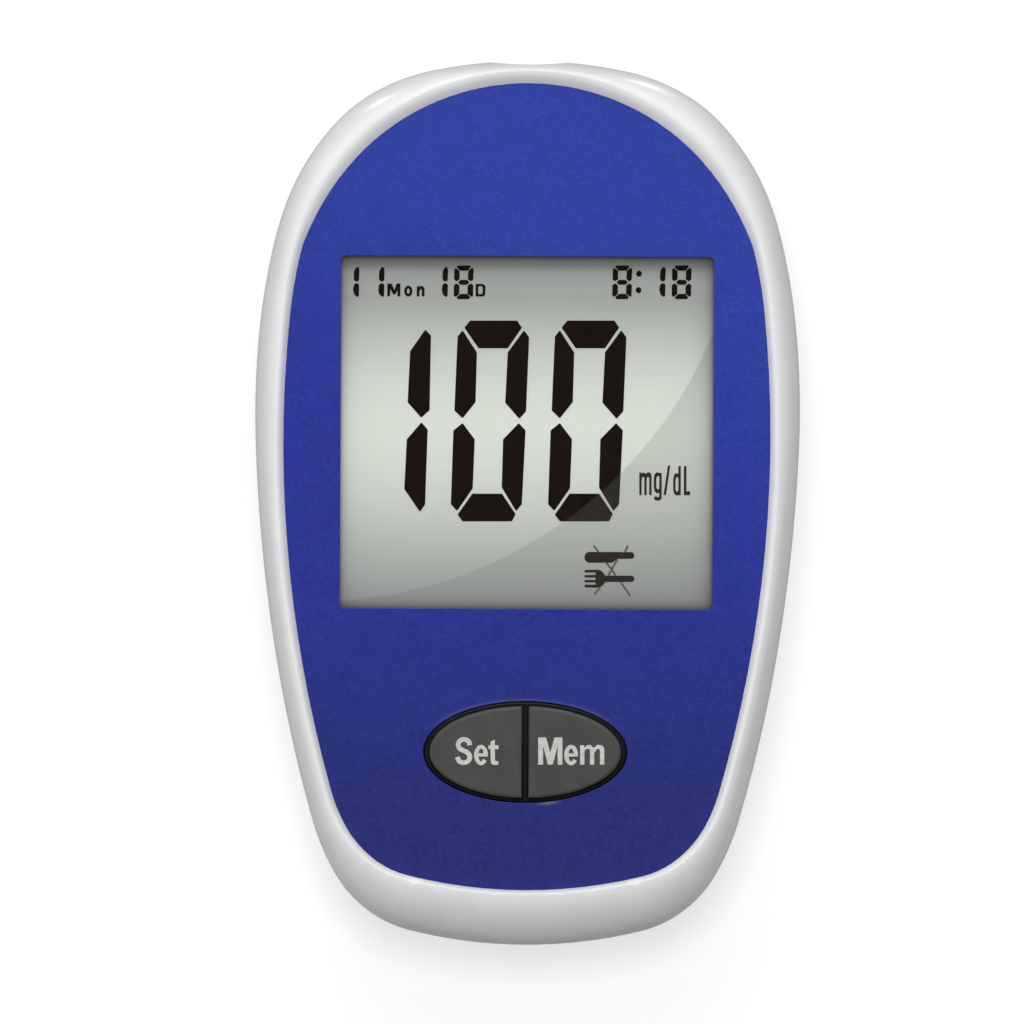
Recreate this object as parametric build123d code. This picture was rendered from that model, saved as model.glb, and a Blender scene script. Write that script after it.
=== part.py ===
from build123d import *
import math
import os

# Blood glucose meter, modelled lying on its back on a table.
# Frame: millimetres, +Z out of the display, +Y towards the test-strip port, +X to the user's right.
# Origin: centre of the flat back, on the resting plane.

# ----------------------------------------------------------------------------
# Driving dimensions
# ----------------------------------------------------------------------------
# Every outline is a chain of tangent arcs, symmetric about X = 0. HEADING lists the
# direction of the outline, in degrees clockwise from +X, where one arc hands over to the
# next, from the strip-port end (0) to the chin (180). Loops that share headings have
# parallel tangents, so surfaces drawn between them stay fair.
HEADING = [0, 12, 30, 48, 60, 68, 76, 84, 92, 99, 106, 120, 145, 166, 180]
SIDE_R = [47.01, 19.68, 15.86, 25.54, 22.57, 30.0, 62.34, 86.36, 164.97, 147.92, 23.74, 12.34, 11.48, 47.97]
SIDE_TOP, SIDE_END = 44.1, -44.1          # widest outline, at the parting plane
CREST_R = [24.36, 25.48, 22.56, 24.06, 24.36, 21.87, 36.59, 137.59, 111.05, 140.87, 15.15, 11.16, 8.81, 50.76]
CREST_TOP, CREST_END = 43.12, -39.04        # top of the raised rim
PLATE_R = [23.36, 23.51, 22.89, 25.59, 28.66, 9.28, 41.47, 124.03, 127.7, 129.21, 15.62, 10.65, 8.82, 48.6]
PLATE_TOP, PLATE_END = 41.80, -38.61      # foot of the rim, where the faceplate meets it

Z_PART = 8.8                # parting plane between the housings
Z_WALL = 13.4               # the side wall is upright up to here, then turns over to the rim
TURN = 1.6                  # shape of that turn: 2 is an ellipse, less is flatter with tighter ends
Z_CREST = 18.0              # top of the raised rim, the thickest point
Z_PLATE = 17.1              # face of the blue faceplate
PLATE_T = 0.68              # faceplate thickness
ADHESIVE_T = 0.12
Z_POCKET = Z_PLATE - PLATE_T - ADHESIVE_T
Z_CEIL = 15.3               # underside of the front housing's face wall
LENS_T = 0.58               # display lens
Z_SEAT = Z_POCKET - LENS_T - 0.02
Z_GLASS = 15.0              # front face of the display glass
WALL = 1.8                  # side wall of both housings
FLOOR = 1.6                 # back wall
GROOVE_W, GROOVE_D = 0.10, 0.25   # shadow groove each side of the parting plane
REAR_INSET = 0.06           # how far the rear housing stays inside the front one at the parting plane

WIN_X, WIN_Y0, WIN_Y1, WIN_R = 18.57, -10.57, 24.56, 0.5     # display window in the faceplate
KEY_Y = -24.85              # centre of the oval key pair
OPEN_A, OPEN_B = 10.17, 5.08    # oval opening in the faceplate
KEY_A, KEY_B = 9.56, 4.59   # oval of the two keys together
KEY_GAP = 0.31              # half of the slot between the keys
KEY_PLAY = 0.08             # gap between a key and the surround
KEY_TRAVEL = 0.70
Z_KEY = 17.5                # top of the keys

PORT_W, PORT_Z1 = 7.8, 10.5     # strip mouth: width, upper edge (its lower edge is the parting plane)
SCOOP_R, SCOOP_D = 30.0, 0.42   # shallow hollow down the end wall, where the strip goes in
DIMPLE_R, DIMPLE_D = 9.0, 0.9   # dimple round the mouth

PCB_Z0, PCB_Z1 = 7.4, 8.6
CELL_Y, CELL_R, CELL_T = -20.0, 10.0, 3.2
CELL_Z0 = 2.75
DOOR_X, DOOR_Y = 11.2, -8.0     # half width and front edge of the battery door
DOOR_PLATE_Z, DOOR_END_Z = 2.6, 6.0
CASE_SCREWS = [(-15.5, 33.5), (15.5, 33.5), (-15.0, -30.0), (15.0, -30.0)]
BOARD_SCREWS = [(-18.5, -20.0), (18.5, -20.0)]

OUT = "parts"


# ----------------------------------------------------------------------------
# Outline loops
# ----------------------------------------------------------------------------
def closed_radii(radii, top, end):
    """Trims two of the radii so that the half outline ends exactly on the centre line at end."""
    r = list(radii)
    a, b = 8, 13
    h = [math.radians(v) for v in HEADING]
    sx = [math.sin(h[i + 1]) - math.sin(h[i]) for i in range(len(r))]
    sy = [math.cos(h[i + 1]) - math.cos(h[i]) for i in range(len(r))]
    ex = -sum(r[i] * sx[i] for i in range(len(r)) if i not in (a, b))
    ey = (end - top) - sum(r[i] * sy[i] for i in range(len(r)) if i not in (a, b))
    det = sx[a] * sy[b] - sx[b] * sy[a]
    r[a] = (ex * sy[b] - sx[b] * ey) / det
    r[b] = (sx[a] * ey - ex * sy[a]) / det
    return r


SIDE = (closed_radii(SIDE_R, SIDE_TOP, SIDE_END), SIDE_TOP)
CREST = (closed_radii(CREST_R, CREST_TOP, CREST_END), CREST_TOP)
PLATE = (closed_radii(PLATE_R, PLATE_TOP, PLATE_END), PLATE_TOP)

def mix(one, two, t):
    return ([(1 - t) * p + t * q for p, q in zip(one[0], two[0])], (1 - t) * one[1] + t * two[1])


def shrink(outline, inset):
    return ([r - inset for r in outline[0]], outline[1] - inset)


def station(outline, deg):
    """Point on the right half of an outline where its heading is deg."""
    radii, top = outline
    x, y = 0.0, top
    t = math.radians(deg)
    for i, r in enumerate(radii):
        a = math.radians(HEADING[i])
        b = min(t, math.radians(HEADING[i + 1]))
        if b > a:
            x += r * (math.sin(b) - math.sin(a))
            y += r * (math.cos(b) - math.cos(a))
    return x, y


def loop_wire(outline, z):
    """The closed outline at height z: tangent arcs down the right side, and back up the left."""
    right = [[station(outline, d) for d in (a, (a + b) / 2, b)] for a, b in zip(HEADING, HEADING[1:])]
    left = [[(-x, y) for x, y in arc[::-1]] for arc in right[::-1]]
    return Wire([Edge.make_three_point_arc(*[Vector(x, y, z) for x, y in arc]) for arc in right + left])


def slab(outline, z0, z1):
    return extrude(Face(loop_wire(outline, z0)), amount=z1 - z0, dir=(0, 0, 1))


def skin(sections, ruled=False):
    return Solid.make_loft([loop_wire(o, z) for o, z in sections], ruled=ruled)


def walk(curve, width, turn_step=12.0, run_step=1.2, n=2400):
    """Parameters from 0 to 1 along a profile curve t -> (u, z), closer together where it turns, and at both ends."""
    pts = [curve(i / n) for i in range(n + 1)]
    cost, last = [0.0], None
    for (u0, z0), (u1, z1) in zip(pts, pts[1:]):
        dx, dz = (u1 - u0) * width, z1 - z0
        way = math.atan2(dz, dx)
        turn = 0.0 if last is None else abs(way - last)
        last = way
        cost.append(cost[-1] + math.hypot(dx, dz) / run_step + math.degrees(turn) / turn_step)
    steps, ts, j = math.ceil(cost[-1]), [], 0
    for i in range(steps + 1):
        while j < n and cost[j] < cost[-1] * i / steps:
            j += 1
        ts.append(j / n)
    ts[0], ts[-1] = 0.0, 1.0
    return [0.0, ts[1] * 0.25, ts[1] * 0.6] + ts[1:-1] + [1 - (1 - ts[-2]) * 0.6, 1 - (1 - ts[-2]) * 0.25, 1.0]


def box(x0, x1, y0, y1, z0, z1):
    return Pos((x0 + x1) / 2, (y0 + y1) / 2, (z0 + z1) / 2) * Box(x1 - x0, y1 - y0, z1 - z0)


def rod(x, y, r, z0, z1):
    return Pos(x, y, (z0 + z1) / 2) * Cylinder(r, z1 - z0)


def oval(x, y, a, b, z0, z1):
    return extrude(Pos(x, y, z0) * Ellipse(a, b), amount=z1 - z0, dir=(0, 0, 1))


def rrect(x0, x1, y0, y1, r, z0, z1):
    return extrude(Pos((x0 + x1) / 2, (y0 + y1) / 2, z0) * RectangleRounded(x1 - x0, y1 - y0, r), amount=z1 - z0, dir=(0, 0, 1))


def soften(shape, picker, radius):
    """Fillet that leaves the shape alone if the kernel can't make it."""
    for r in (radius, radius * 0.6, radius * 0.35):
        try:
            out = fillet(picker(shape), r)
            if out.is_valid and out.volume > 0:
                return out
        except Exception:
            pass
    print("no fillet", radius)
    return shape


# ----------------------------------------------------------------------------
# Front housing: domed side, raised rim that turns over and drops to the faceplate
# ----------------------------------------------------------------------------
def front_profile(t):
    """(u, z) up the upright wall (u = 0), over the turn to the rim (u = 1) and down to the faceplate (u = 2)."""
    if t < 0.25:
        return 0.0, Z_PART + (Z_WALL - Z_PART) * t / 0.25
    if t < 0.75:
        a = (t - 0.25) * math.pi
        return 1 - max(0.0, math.cos(a)) ** (2 / TURN), Z_WALL + (Z_CREST - Z_WALL) * math.sin(a) ** (2 / TURN)
    m, end = (t - 0.75) / 0.25, math.radians(62)
    return 1 + m, Z_CREST - (Z_CREST - Z_PLATE) * (1 - math.cos(m * end)) / (1 - math.cos(end))


def front_section(t):
    u, z = front_profile(t)
    return (mix(SIDE, CREST, u) if u <= 1 else mix(CREST, PLATE, u - 1)), z


def rear_profile(t):
    """(inset, z) from the edge of the flat back, round to the upright wall at the parting plane."""
    a, p, reach = t * math.pi / 2, 2.25, 5.2
    return REAR_INSET + (reach - REAR_INSET) * (1 - math.sin(a) ** (2 / p)), Z_PART * (1 - max(0.0, math.cos(a)) ** (2 / p))


front_outer = skin([front_section(t) for t in walk(front_profile, 2.0)])
print("front outer", front_outer.is_valid, round(front_outer.volume))

front_inner = skin([
    (shrink(SIDE, WALL), Z_PART - 0.01),
    (shrink(SIDE, WALL), 12.6),
    (shrink(mix(SIDE, CREST, 0.06), WALL + 0.05), 13.9),
    (shrink(mix(SIDE, CREST, 0.22), WALL + 0.25), Z_CEIL),
], ruled=True)

rear_outer = skin([(shrink(SIDE, rear_profile(t)[0]), rear_profile(t)[1]) for t in walk(rear_profile, 1.0)])
rear_inner = skin([
    (shrink(SIDE, d), z) for z, d in
    ((FLOOR, 6.2), (1.95, 4.7), (2.8, 3.45), (4.2, 2.5), (6.2, 1.95), (8.81, WALL))
], ruled=True)
print("rear outer", rear_outer.is_valid, round(rear_outer.volume), "inner", rear_inner.is_valid)

scoop = rod(0, SIDE_TOP + SCOOP_R - SCOOP_D, SCOOP_R, -1, 19)
dimple = Pos(0, SIDE_TOP + DIMPLE_R - DIMPLE_D, (Z_PART + PORT_Z1) / 2) * Sphere(DIMPLE_R)
groove = slab(shrink(SIDE, -1.0), Z_PART - GROOVE_W, Z_PART + GROOVE_W) - slab(shrink(SIDE, GROOVE_D), Z_PART - GROOVE_W, Z_PART + GROOVE_W)

front = Part() + front_outer - front_inner
front -= slab(shrink(PLATE, 0.0), Z_POCKET, Z_PLATE + 0.3)
# rabbet for the rear housing's tongue, left out round the strip mouth
rabbet = slab(shrink(SIDE, 0.93), Z_PART - 0.1, 9.95) - box(-7.5, 7.5, 36, 46, 8, 11)
front -= rabbet
# window, lens seat and key opening
front -= rrect(-19.3, 19.3, -11.05, 25.15, 0.8, Z_CEIL - 0.1, Z_PLATE)
front -= rrect(-20.0, 20.0, -11.75, 25.85, 1.0, Z_SEAT, Z_PLATE)
front -= oval(0, KEY_Y, OPEN_A + 0.25, OPEN_B + 0.25, Z_CEIL - 0.1, Z_PLATE)
# screw bosses hang from the face wall
for x, y in CASE_SCREWS:
    front += rod(x, y, 2.4, Z_PART + 0.15, Z_CEIL + 0.3)
    front -= rod(x, y, 1.0, Z_PART, 13.2)
for x, y in BOARD_SCREWS:
    front += rod(x, y, 2.1, PCB_Z1, Z_CEIL + 0.3)
    front -= rod(x, y, 0.8, PCB_Z1 - 0.1, 12.4)
# strip mouth, with flared lips
front -= box(-PORT_W / 2, PORT_W / 2, 40.5, 46, Z_PART - 0.2, PORT_Z1)
front -= scoop
front -= dimple
front -= groove
front = front.solids().sort_by(SortBy.VOLUME)[-1]
print("front", front.is_valid, round(front.volume))

# ----------------------------------------------------------------------------
# Rear housing: bowl with the battery bay, screw columns and locating tongue
# ----------------------------------------------------------------------------
rear = Part() + rear_outer - rear_inner
bay = box(-13.4, 13.4, -33.4, -6.2, FLOOR - 0.2, PCB_Z0 - 0.02)
rear += bay
for x, y in CASE_SCREWS:
    rear += rod(x, y, 2.9, 0.5, Z_PART) & rear_outer
tongue = slab(shrink(SIDE, 1.0), Z_PART - 0.4, 9.8) - slab(shrink(SIDE, 1.7), Z_PART - 0.5, 9.9) - box(-8, 8, 36, 46, 8, 11)
rear += tongue
# channel that the battery door slides in, open at the chin
rear -= box(-DOOR_X - 0.1, DOOR_X + 0.1, -46, DOOR_Y + 0.1, -1, DOOR_PLATE_Z + 0.1)
rear -= box(-DOOR_X - 0.1, DOOR_X + 0.1, -46, -34.4, -1, DOOR_END_Z + 0.1)
rear -= box(-12.15, 12.15, -46, DOOR_Y + 0.1, FLOOR, DOOR_PLATE_Z + 0.1)
rear -= box(-9.2, 9.2, -8.0, -6.7, FLOOR, DOOR_PLATE_Z + 0.1)
# coin-cell pocket with passages for the two spring contacts
rear -= rod(0, CELL_Y, CELL_R + 0.4, DOOR_PLATE_Z, 6.35)
rear -= box(-3.4, 3.4, -11.0, -9.0, DOOR_PLATE_Z, 7.5)
rear -= box(-3.3, 3.3, -27.4, -26.2, 6.0, 7.5)
for x, y in CASE_SCREWS:
    rear -= rod(x, y, 2.2, -1, 3.4)
    rear -= rod(x, y, 1.2, 3.3, 9)
for x, y in BOARD_SCREWS:      # room for the board screws' heads
    rear -= rod(x, y, 2.2, 5.6, 7.4)
rear -= rrect(-16.0, 16.0, 3.0, 27.0, 1.5, -1, 0.2)      # label recess
rear -= scoop
rear -= dimple
rear -= groove
rear -= box(-PORT_W / 2, PORT_W / 2, 40.5, 46, Z_PART - 0.1, 11)
rear = rear.solids().sort_by(SortBy.VOLUME)[-1]
print("rear", rear.is_valid, round(rear.volume))

# ----------------------------------------------------------------------------
# Battery door: back plate and chin cover in one, side tongues, front lip, finger ribs
# ----------------------------------------------------------------------------
door = Part() + (rear_outer & (box(-DOOR_X, DOOR_X, -46, DOOR_Y, -1, DOOR_PLATE_Z) + box(-DOOR_X, DOOR_X, -46, -35.0, -1, DOOR_END_Z)))
door += rear_outer & box(-12.0, 12.0, -46, DOOR_Y, FLOOR + 0.12, DOOR_PLATE_Z - 0.05)
door -= rear_inner & box(-20, 20, -46, -34.4, DOOR_PLATE_Z, 9)
door += box(-9.0, 9.0, DOOR_Y - 0.5, -6.85, FLOOR + 0.12, DOOR_PLATE_Z - 0.05)
door -= box(-9.6, 9.6, -29.6, -10.4, FLOOR + 0.1, DOOR_PLATE_Z + 0.1) - box(-9.6, 9.6, -20.6, -19.4, 0, 3)    # weight-saving pockets
for i in range(5):
    door -= rrect(-6.5 + 0.45 * i, 6.5 - 0.45 * i, -14.0 - 1.7 * i, -13.1 - 1.7 * i, 0.44, -1, 0.35)
arrow = Pos(0, 0, -0.5) * extrude(Face(Wire.make_polygon([(-2.2, -23.4, 0), (2.2, -23.4, 0), (0, -26.6, 0)])), amount=0.75, dir=(0, 0, 1))
door -= arrow
door = door.solids().sort_by(SortBy.VOLUME)[-1]
print("door", door.is_valid, round(door.volume))

# ----------------------------------------------------------------------------
# Faceplate, adhesive, lens, gasket
# ----------------------------------------------------------------------------
faceplate = slab(shrink(PLATE, 0.02), Z_PLATE - PLATE_T, Z_PLATE)
faceplate -= rrect(-WIN_X, WIN_X, WIN_Y0, WIN_Y1, WIN_R, 15, 18)
faceplate -= oval(0, KEY_Y, OPEN_A, OPEN_B, 15, 18)
adhesive = slab(shrink(PLATE, 1.0), Z_POCKET, Z_POCKET + ADHESIVE_T)
adhesive -= rrect(-19.3, 19.3, -11.05, 25.15, 0.8, 15, 18)
adhesive -= oval(0, KEY_Y, OPEN_A + 0.6, OPEN_B + 0.6, 15, 18)
# the edges of the faceplate's openings are just broken
faceplate = soften(Part() + faceplate, lambda s: s.faces().sort_by(Axis.Z)[-1].inner_wires().edges(), 0.05)
lens = rrect(-19.85, 19.85, -11.6, 25.7, 0.9, Z_SEAT, Z_SEAT + LENS_T)
gasket = rrect(-19.9, 19.9, -12.2, 25.6, 0.6, Z_GLASS, Z_CEIL) - rrect(-19.2, 19.2, -10.95, 25.05, 0.6, 14, 17)

# ----------------------------------------------------------------------------
# Display module
# ----------------------------------------------------------------------------
lcd_front_glass = box(-20.0, 20.0, -14.6, 25.8, Z_GLASS - 1.1, Z_GLASS)
lcd_front_polarizer = box(-19.1, 19.1, -10.85, 24.95, Z_GLASS, Z_GLASS + 0.2)
lcd_rear_glass = box(-20.0, 20.0, -11.2, 25.8, Z_GLASS - 2.2, Z_GLASS - 1.1)
lcd_reflector = box(-19.4, 19.4, -10.8, 25.4, Z_GLASS - 2.4, Z_GLASS - 2.2)
lcd_frame = box(-21.6, 21.6, -16.2, 27.0, PCB_Z1, Z_GLASS - 0.2)
lcd_frame -= box(-20.2, 20.2, -14.8, 26.0, Z_GLASS - 2.2, 16)
lcd_frame -= box(-19.6, 19.6, -11.0, 25.6, Z_GLASS - 2.5, Z_GLASS - 2.1)
lcd_frame -= box(-17.5, 17.5, -9.5, 24.0, 8, 14)
lcd_frame -= box(-18.8, 18.8, -14.35, -11.75, 8, 14)
lcd_frame = Part() + lcd_frame
zebra = box(-18.5, 18.5, -14.2, -11.9, PCB_Z1, Z_GLASS - 1.1)

# ----------------------------------------------------------------------------
# Circuit board and what is soldered to it
# ----------------------------------------------------------------------------
board = slab(shrink(SIDE, 3.0), PCB_Z0, PCB_Z1)
for x, y in CASE_SCREWS:
    board -= rod(x, y, 3.2, 7, 9)
for x, y in BOARD_SCREWS:
    board -= rod(x, y, 1.1, 7, 9)
board = Part() + board

micro = box(3.0, 13.0, 6.0, 16.0, 5.95, 7.25)
pins = []
for i in range(12):
    p = 3.8 + i * 0.7636
    pins += [(p, 5.0, 0.3, 1.0), (p, 16.0, 0.3, 1.0)]
mcu_leads = None
for x, y, w, l in pins:
    b = box(x, x + w, y, y + l, 7.2, 7.4)
    mcu_leads = b if mcu_leads is None else mcu_leads + b
for i in range(12):
    p = 6.8 + i * 0.7636
    for x in (2.0, 13.0):
        mcu_leads += box(x, x + 1.0, p, p + 0.3, 7.2, 7.4)
micro_all = Part() + micro + mcu_leads

comp = []
comp.append(box(-4.0, 0.5, 30.0, 34.0, 6.3, PCB_Z0))          # amplifier
comp.append(box(4.0, 8.5, 22.0, 26.0, 6.3, PCB_Z0))           # memory
comp.append(box(-16.0, -12.8, 2.0, 3.5, 6.6, PCB_Z0))         # watch crystal
comp.append(box(-17.0, -13.0, 8.0, 10.5, 6.2, PCB_Z0))        # main crystal
for x, y in ((-6, 26), (-3, 26), (0, 26), (13, 30), (16, 27), (16, 23), (-18, 16), (-18, 13), (17, 8), (17, 5), (-6, 0), (-2, 0), (2, 0), (6, 0)):
    comp.append(box(x, x + 1.6, y, y + 0.8, 6.75, PCB_Z0))
comp.append(rod(11.5, 36.5, 2.0, 4.6, PCB_Z0))                # tank capacitor
components = Compound(children=[c.solid() for c in comp])

buzzer = rod(-10.5, 20.0, 6.0, 4.3, PCB_Z0) - rod(-10.5, 20.0, 1.0, 4.0, 5.3)
buzzer = Part() + buzzer

connector = box(-5.2, 5.2, 32.0, 41.0, PCB_Z1, 11.4)
connector -= box(-3.45, 3.45, 33.6, 41.5, 9.3, 10.0)
connector -= box(-3.45, 3.45, 40.2, 41.5, 9.1, 10.25)
CONTACT_X = (-2.25, -0.75, 0.75, 2.25)
for x in CONTACT_X:
    connector -= box(x - 0.5, x + 0.5, 31.5, 39.4, 9.9, 10.6)
connector = Part() + connector
contacts = []
for x in CONTACT_X:
    c = box(x - 0.35, x + 0.35, 31.6, 38.8, 10.25, 10.45)
    c += box(x - 0.35, x + 0.35, 31.4, 31.6, PCB_Z1, 10.45)
    c += box(x - 0.35, x + 0.35, 38.0, 38.8, 10.05, 10.25)
    contacts.append((Part() + c).solid())
strip_contacts = Compound(children=contacts)

# ----------------------------------------------------------------------------
# Keys: hard caps in a black surround, over a silicone keypad
# ----------------------------------------------------------------------------
def key_cap(side):
    top = oval(0, KEY_Y, KEY_A, KEY_B, 12.9, Z_KEY)
    top &= box(KEY_GAP, 20, -40, -10, 12, 19)
    top = soften(Part() + top, lambda s: s.faces().sort_by(Axis.Z)[-1].edges(), 0.35)
    foot = oval(0, KEY_Y, KEY_A + 0.8, KEY_B + 0.7, 13.1, 13.8) & box(KEY_GAP + 0.05, 20, -40, -10, 12, 19)
    plunger = rod(4.3, KEY_Y, 1.6, 11.3, 13.5)
    cap = top + foot + plunger
    cap = Part() + cap
    return cap if side > 0 else mirror(cap, about=Plane.YZ)


memory_cap = key_cap(1)
set_cap = key_cap(-1)

surround = oval(0, KEY_Y, OPEN_A - 0.07, OPEN_B - 0.07, 13.9, 16.95)
surround = soften(Part() + surround, lambda s: s.faces().sort_by(Axis.Z)[-1].edges(), 0.15)
surround += oval(0, KEY_Y, 12.0, 6.8, 13.9, Z_CEIL)
hole = oval(0, KEY_Y, KEY_A + KEY_PLAY, KEY_B + KEY_PLAY, 13, 18) - box(-KEY_GAP + KEY_PLAY, KEY_GAP - KEY_PLAY, -40, -10, 12, 19)
surround -= hole
surround = Part() + surround

POST_X = 4.3
web = box(-11.8, 11.8, KEY_Y - 5.0, KEY_Y + 5.0, PCB_Z1, 9.6) - rod(-POST_X, KEY_Y, 3.6, 8, 10) - rod(POST_X, KEY_Y, 3.6, 8, 10)
web = Part() + web


def post(x):
    return Part() + rod(x, KEY_Y, 2.3, 9.75, 11.3)


def pill(x):
    return Part() + rod(x, KEY_Y, 1.7, 9.4, 9.75)


def skirt(x):
    """Thin cone of silicone between the web and the post; it folds as the key goes down."""
    prof = Face(Wire.make_polygon([(x + 3.6, 0, 9.3), (x + 3.6, 0, 9.6), (x + 2.3, 0, 10.9), (x + 2.3, 0, 10.55)]))
    body = revolve(prof, axis=Axis((x, 0, 0), (0, 0, 1)), revolution_arc=360)
    return Part() + Pos(0, KEY_Y, 0) * body


# ----------------------------------------------------------------------------
# Coin cell and its contacts
# ----------------------------------------------------------------------------
cell_can = rod(0, CELL_Y, CELL_R, CELL_Z0, CELL_Z0 + 2.9)
cell_can = soften(Part() + cell_can, lambda s: s.edges().filter_by(GeomType.CIRCLE), 0.35)
cell_cap = Part() + rod(0, CELL_Y, 8.6, CELL_Z0 + 2.9, CELL_Z0 + CELL_T)
cell_seal = Part() + (rod(0, CELL_Y, 9.2, CELL_Z0 + 2.9, CELL_Z0 + 3.05) - rod(0, CELL_Y, 8.6, 5, 7))
neg = box(-2.6, 2.6, -27.0, -15.0, 5.97, 6.17) + box(-2.6, 2.6, -27.0, -26.8, 5.97, PCB_Z0)
neg = Part() + neg
posi = box(-3.0, 3.0, -9.85, -9.65, 3.2, PCB_Z0) + box(-3.0, 3.0, -9.85, -9.2, 7.2, PCB_Z0)
posi = Part() + posi


# ----------------------------------------------------------------------------
# Fasteners and label
# ----------------------------------------------------------------------------
def screw(x, y, head_r, head_z0, head_t, shank_r, tip):
    z1 = head_z0 + head_t
    s = rod(x, y, head_r, head_z0, z1)
    s = soften(Part() + s, lambda p: p.faces().sort_by(Axis.Z)[0].edges(), 0.3)
    s += rod(x, y, shank_r, z1, tip)
    cross = box(x - head_r * 0.62, x + head_r * 0.62, y - 0.22, y + 0.22, head_z0 - 0.1, head_z0 + 0.65)
    cross += box(x - 0.22, x + 0.22, y - head_r * 0.62, y + head_r * 0.62, head_z0 - 0.1, head_z0 + 0.65)
    return (Part() + (s - cross)).solid()


case_screws = Compound(children=[screw(x, y, 1.9, 2.0, 1.4, 0.98, 12.4) for x, y in CASE_SCREWS])
board_screws = Compound(children=[screw(x, y, 1.7, 6.2, 1.2, 0.78, 11.6) for x, y in BOARD_SCREWS])
label = rrect(-15.8, 15.8, 3.2, 26.8, 1.4, 0.04, 0.2)

NODES = {
    "front_housing": front,
    "rear_housing": rear,
    "battery_door": door,
    "faceplate": faceplate,
    "faceplate_adhesive": adhesive,
    "display_lens": lens,
    "display_gasket": gasket,
    "lcd_front_glass": lcd_front_glass,
    "lcd_front_polarizer": lcd_front_polarizer,
    "lcd_rear_glass": lcd_rear_glass,
    "lcd_reflector": lcd_reflector,
    "lcd_frame": lcd_frame,
    "zebra_connector": zebra,
    "circuit_board": board,
    "microcontroller": micro_all,
    "board_components": components,
    "buzzer": buzzer,
    "strip_connector": connector,
    "strip_contacts": strip_contacts,
    "key_surround": surround,
    "keypad_web": web,
    "set_key": set_cap,
    "memory_key": memory_cap,
    "set_key_post": post(-POST_X),
    "memory_key_post": post(POST_X),
    "set_contact_pill": pill(-POST_X),
    "memory_contact_pill": pill(POST_X),
    "set_key_skirt": skirt(-POST_X),
    "memory_key_skirt": skirt(POST_X),
    "coin_cell_can": cell_can,
    "coin_cell_cap": cell_cap,
    "coin_cell_seal": cell_seal,
    "battery_contact_positive": posi,
    "battery_contact_negative": neg,
    "case_screws": case_screws,
    "board_screws": board_screws,
    "rear_label": label,
}

os.makedirs(OUT, exist_ok=True)
for name, shape in NODES.items():
    export_step(shape, os.path.join(OUT, name + ".step"))
print(len(NODES), "nodes")
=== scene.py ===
import math

import bpy
from mathutils import Matrix, Vector
from mathutils.geometry import tessellate_polygon


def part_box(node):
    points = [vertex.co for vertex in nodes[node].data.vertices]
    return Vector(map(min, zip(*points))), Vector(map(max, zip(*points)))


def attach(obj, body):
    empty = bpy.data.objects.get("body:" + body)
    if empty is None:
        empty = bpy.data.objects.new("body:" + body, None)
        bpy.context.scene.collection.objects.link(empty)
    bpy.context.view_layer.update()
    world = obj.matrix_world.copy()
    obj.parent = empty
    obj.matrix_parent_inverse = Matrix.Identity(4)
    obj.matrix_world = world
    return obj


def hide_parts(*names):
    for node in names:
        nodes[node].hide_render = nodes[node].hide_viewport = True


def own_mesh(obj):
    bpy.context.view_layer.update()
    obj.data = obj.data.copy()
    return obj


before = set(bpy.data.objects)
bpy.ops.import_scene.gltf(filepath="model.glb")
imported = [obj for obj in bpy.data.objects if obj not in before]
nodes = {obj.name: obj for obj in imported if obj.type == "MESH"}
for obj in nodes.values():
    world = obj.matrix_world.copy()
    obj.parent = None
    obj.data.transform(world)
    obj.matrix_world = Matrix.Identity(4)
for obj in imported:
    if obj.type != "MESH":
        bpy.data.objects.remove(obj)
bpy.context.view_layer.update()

MM = 0.001

# ---------------------------------------------------------------------------
# Node helpers
# ---------------------------------------------------------------------------


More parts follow.
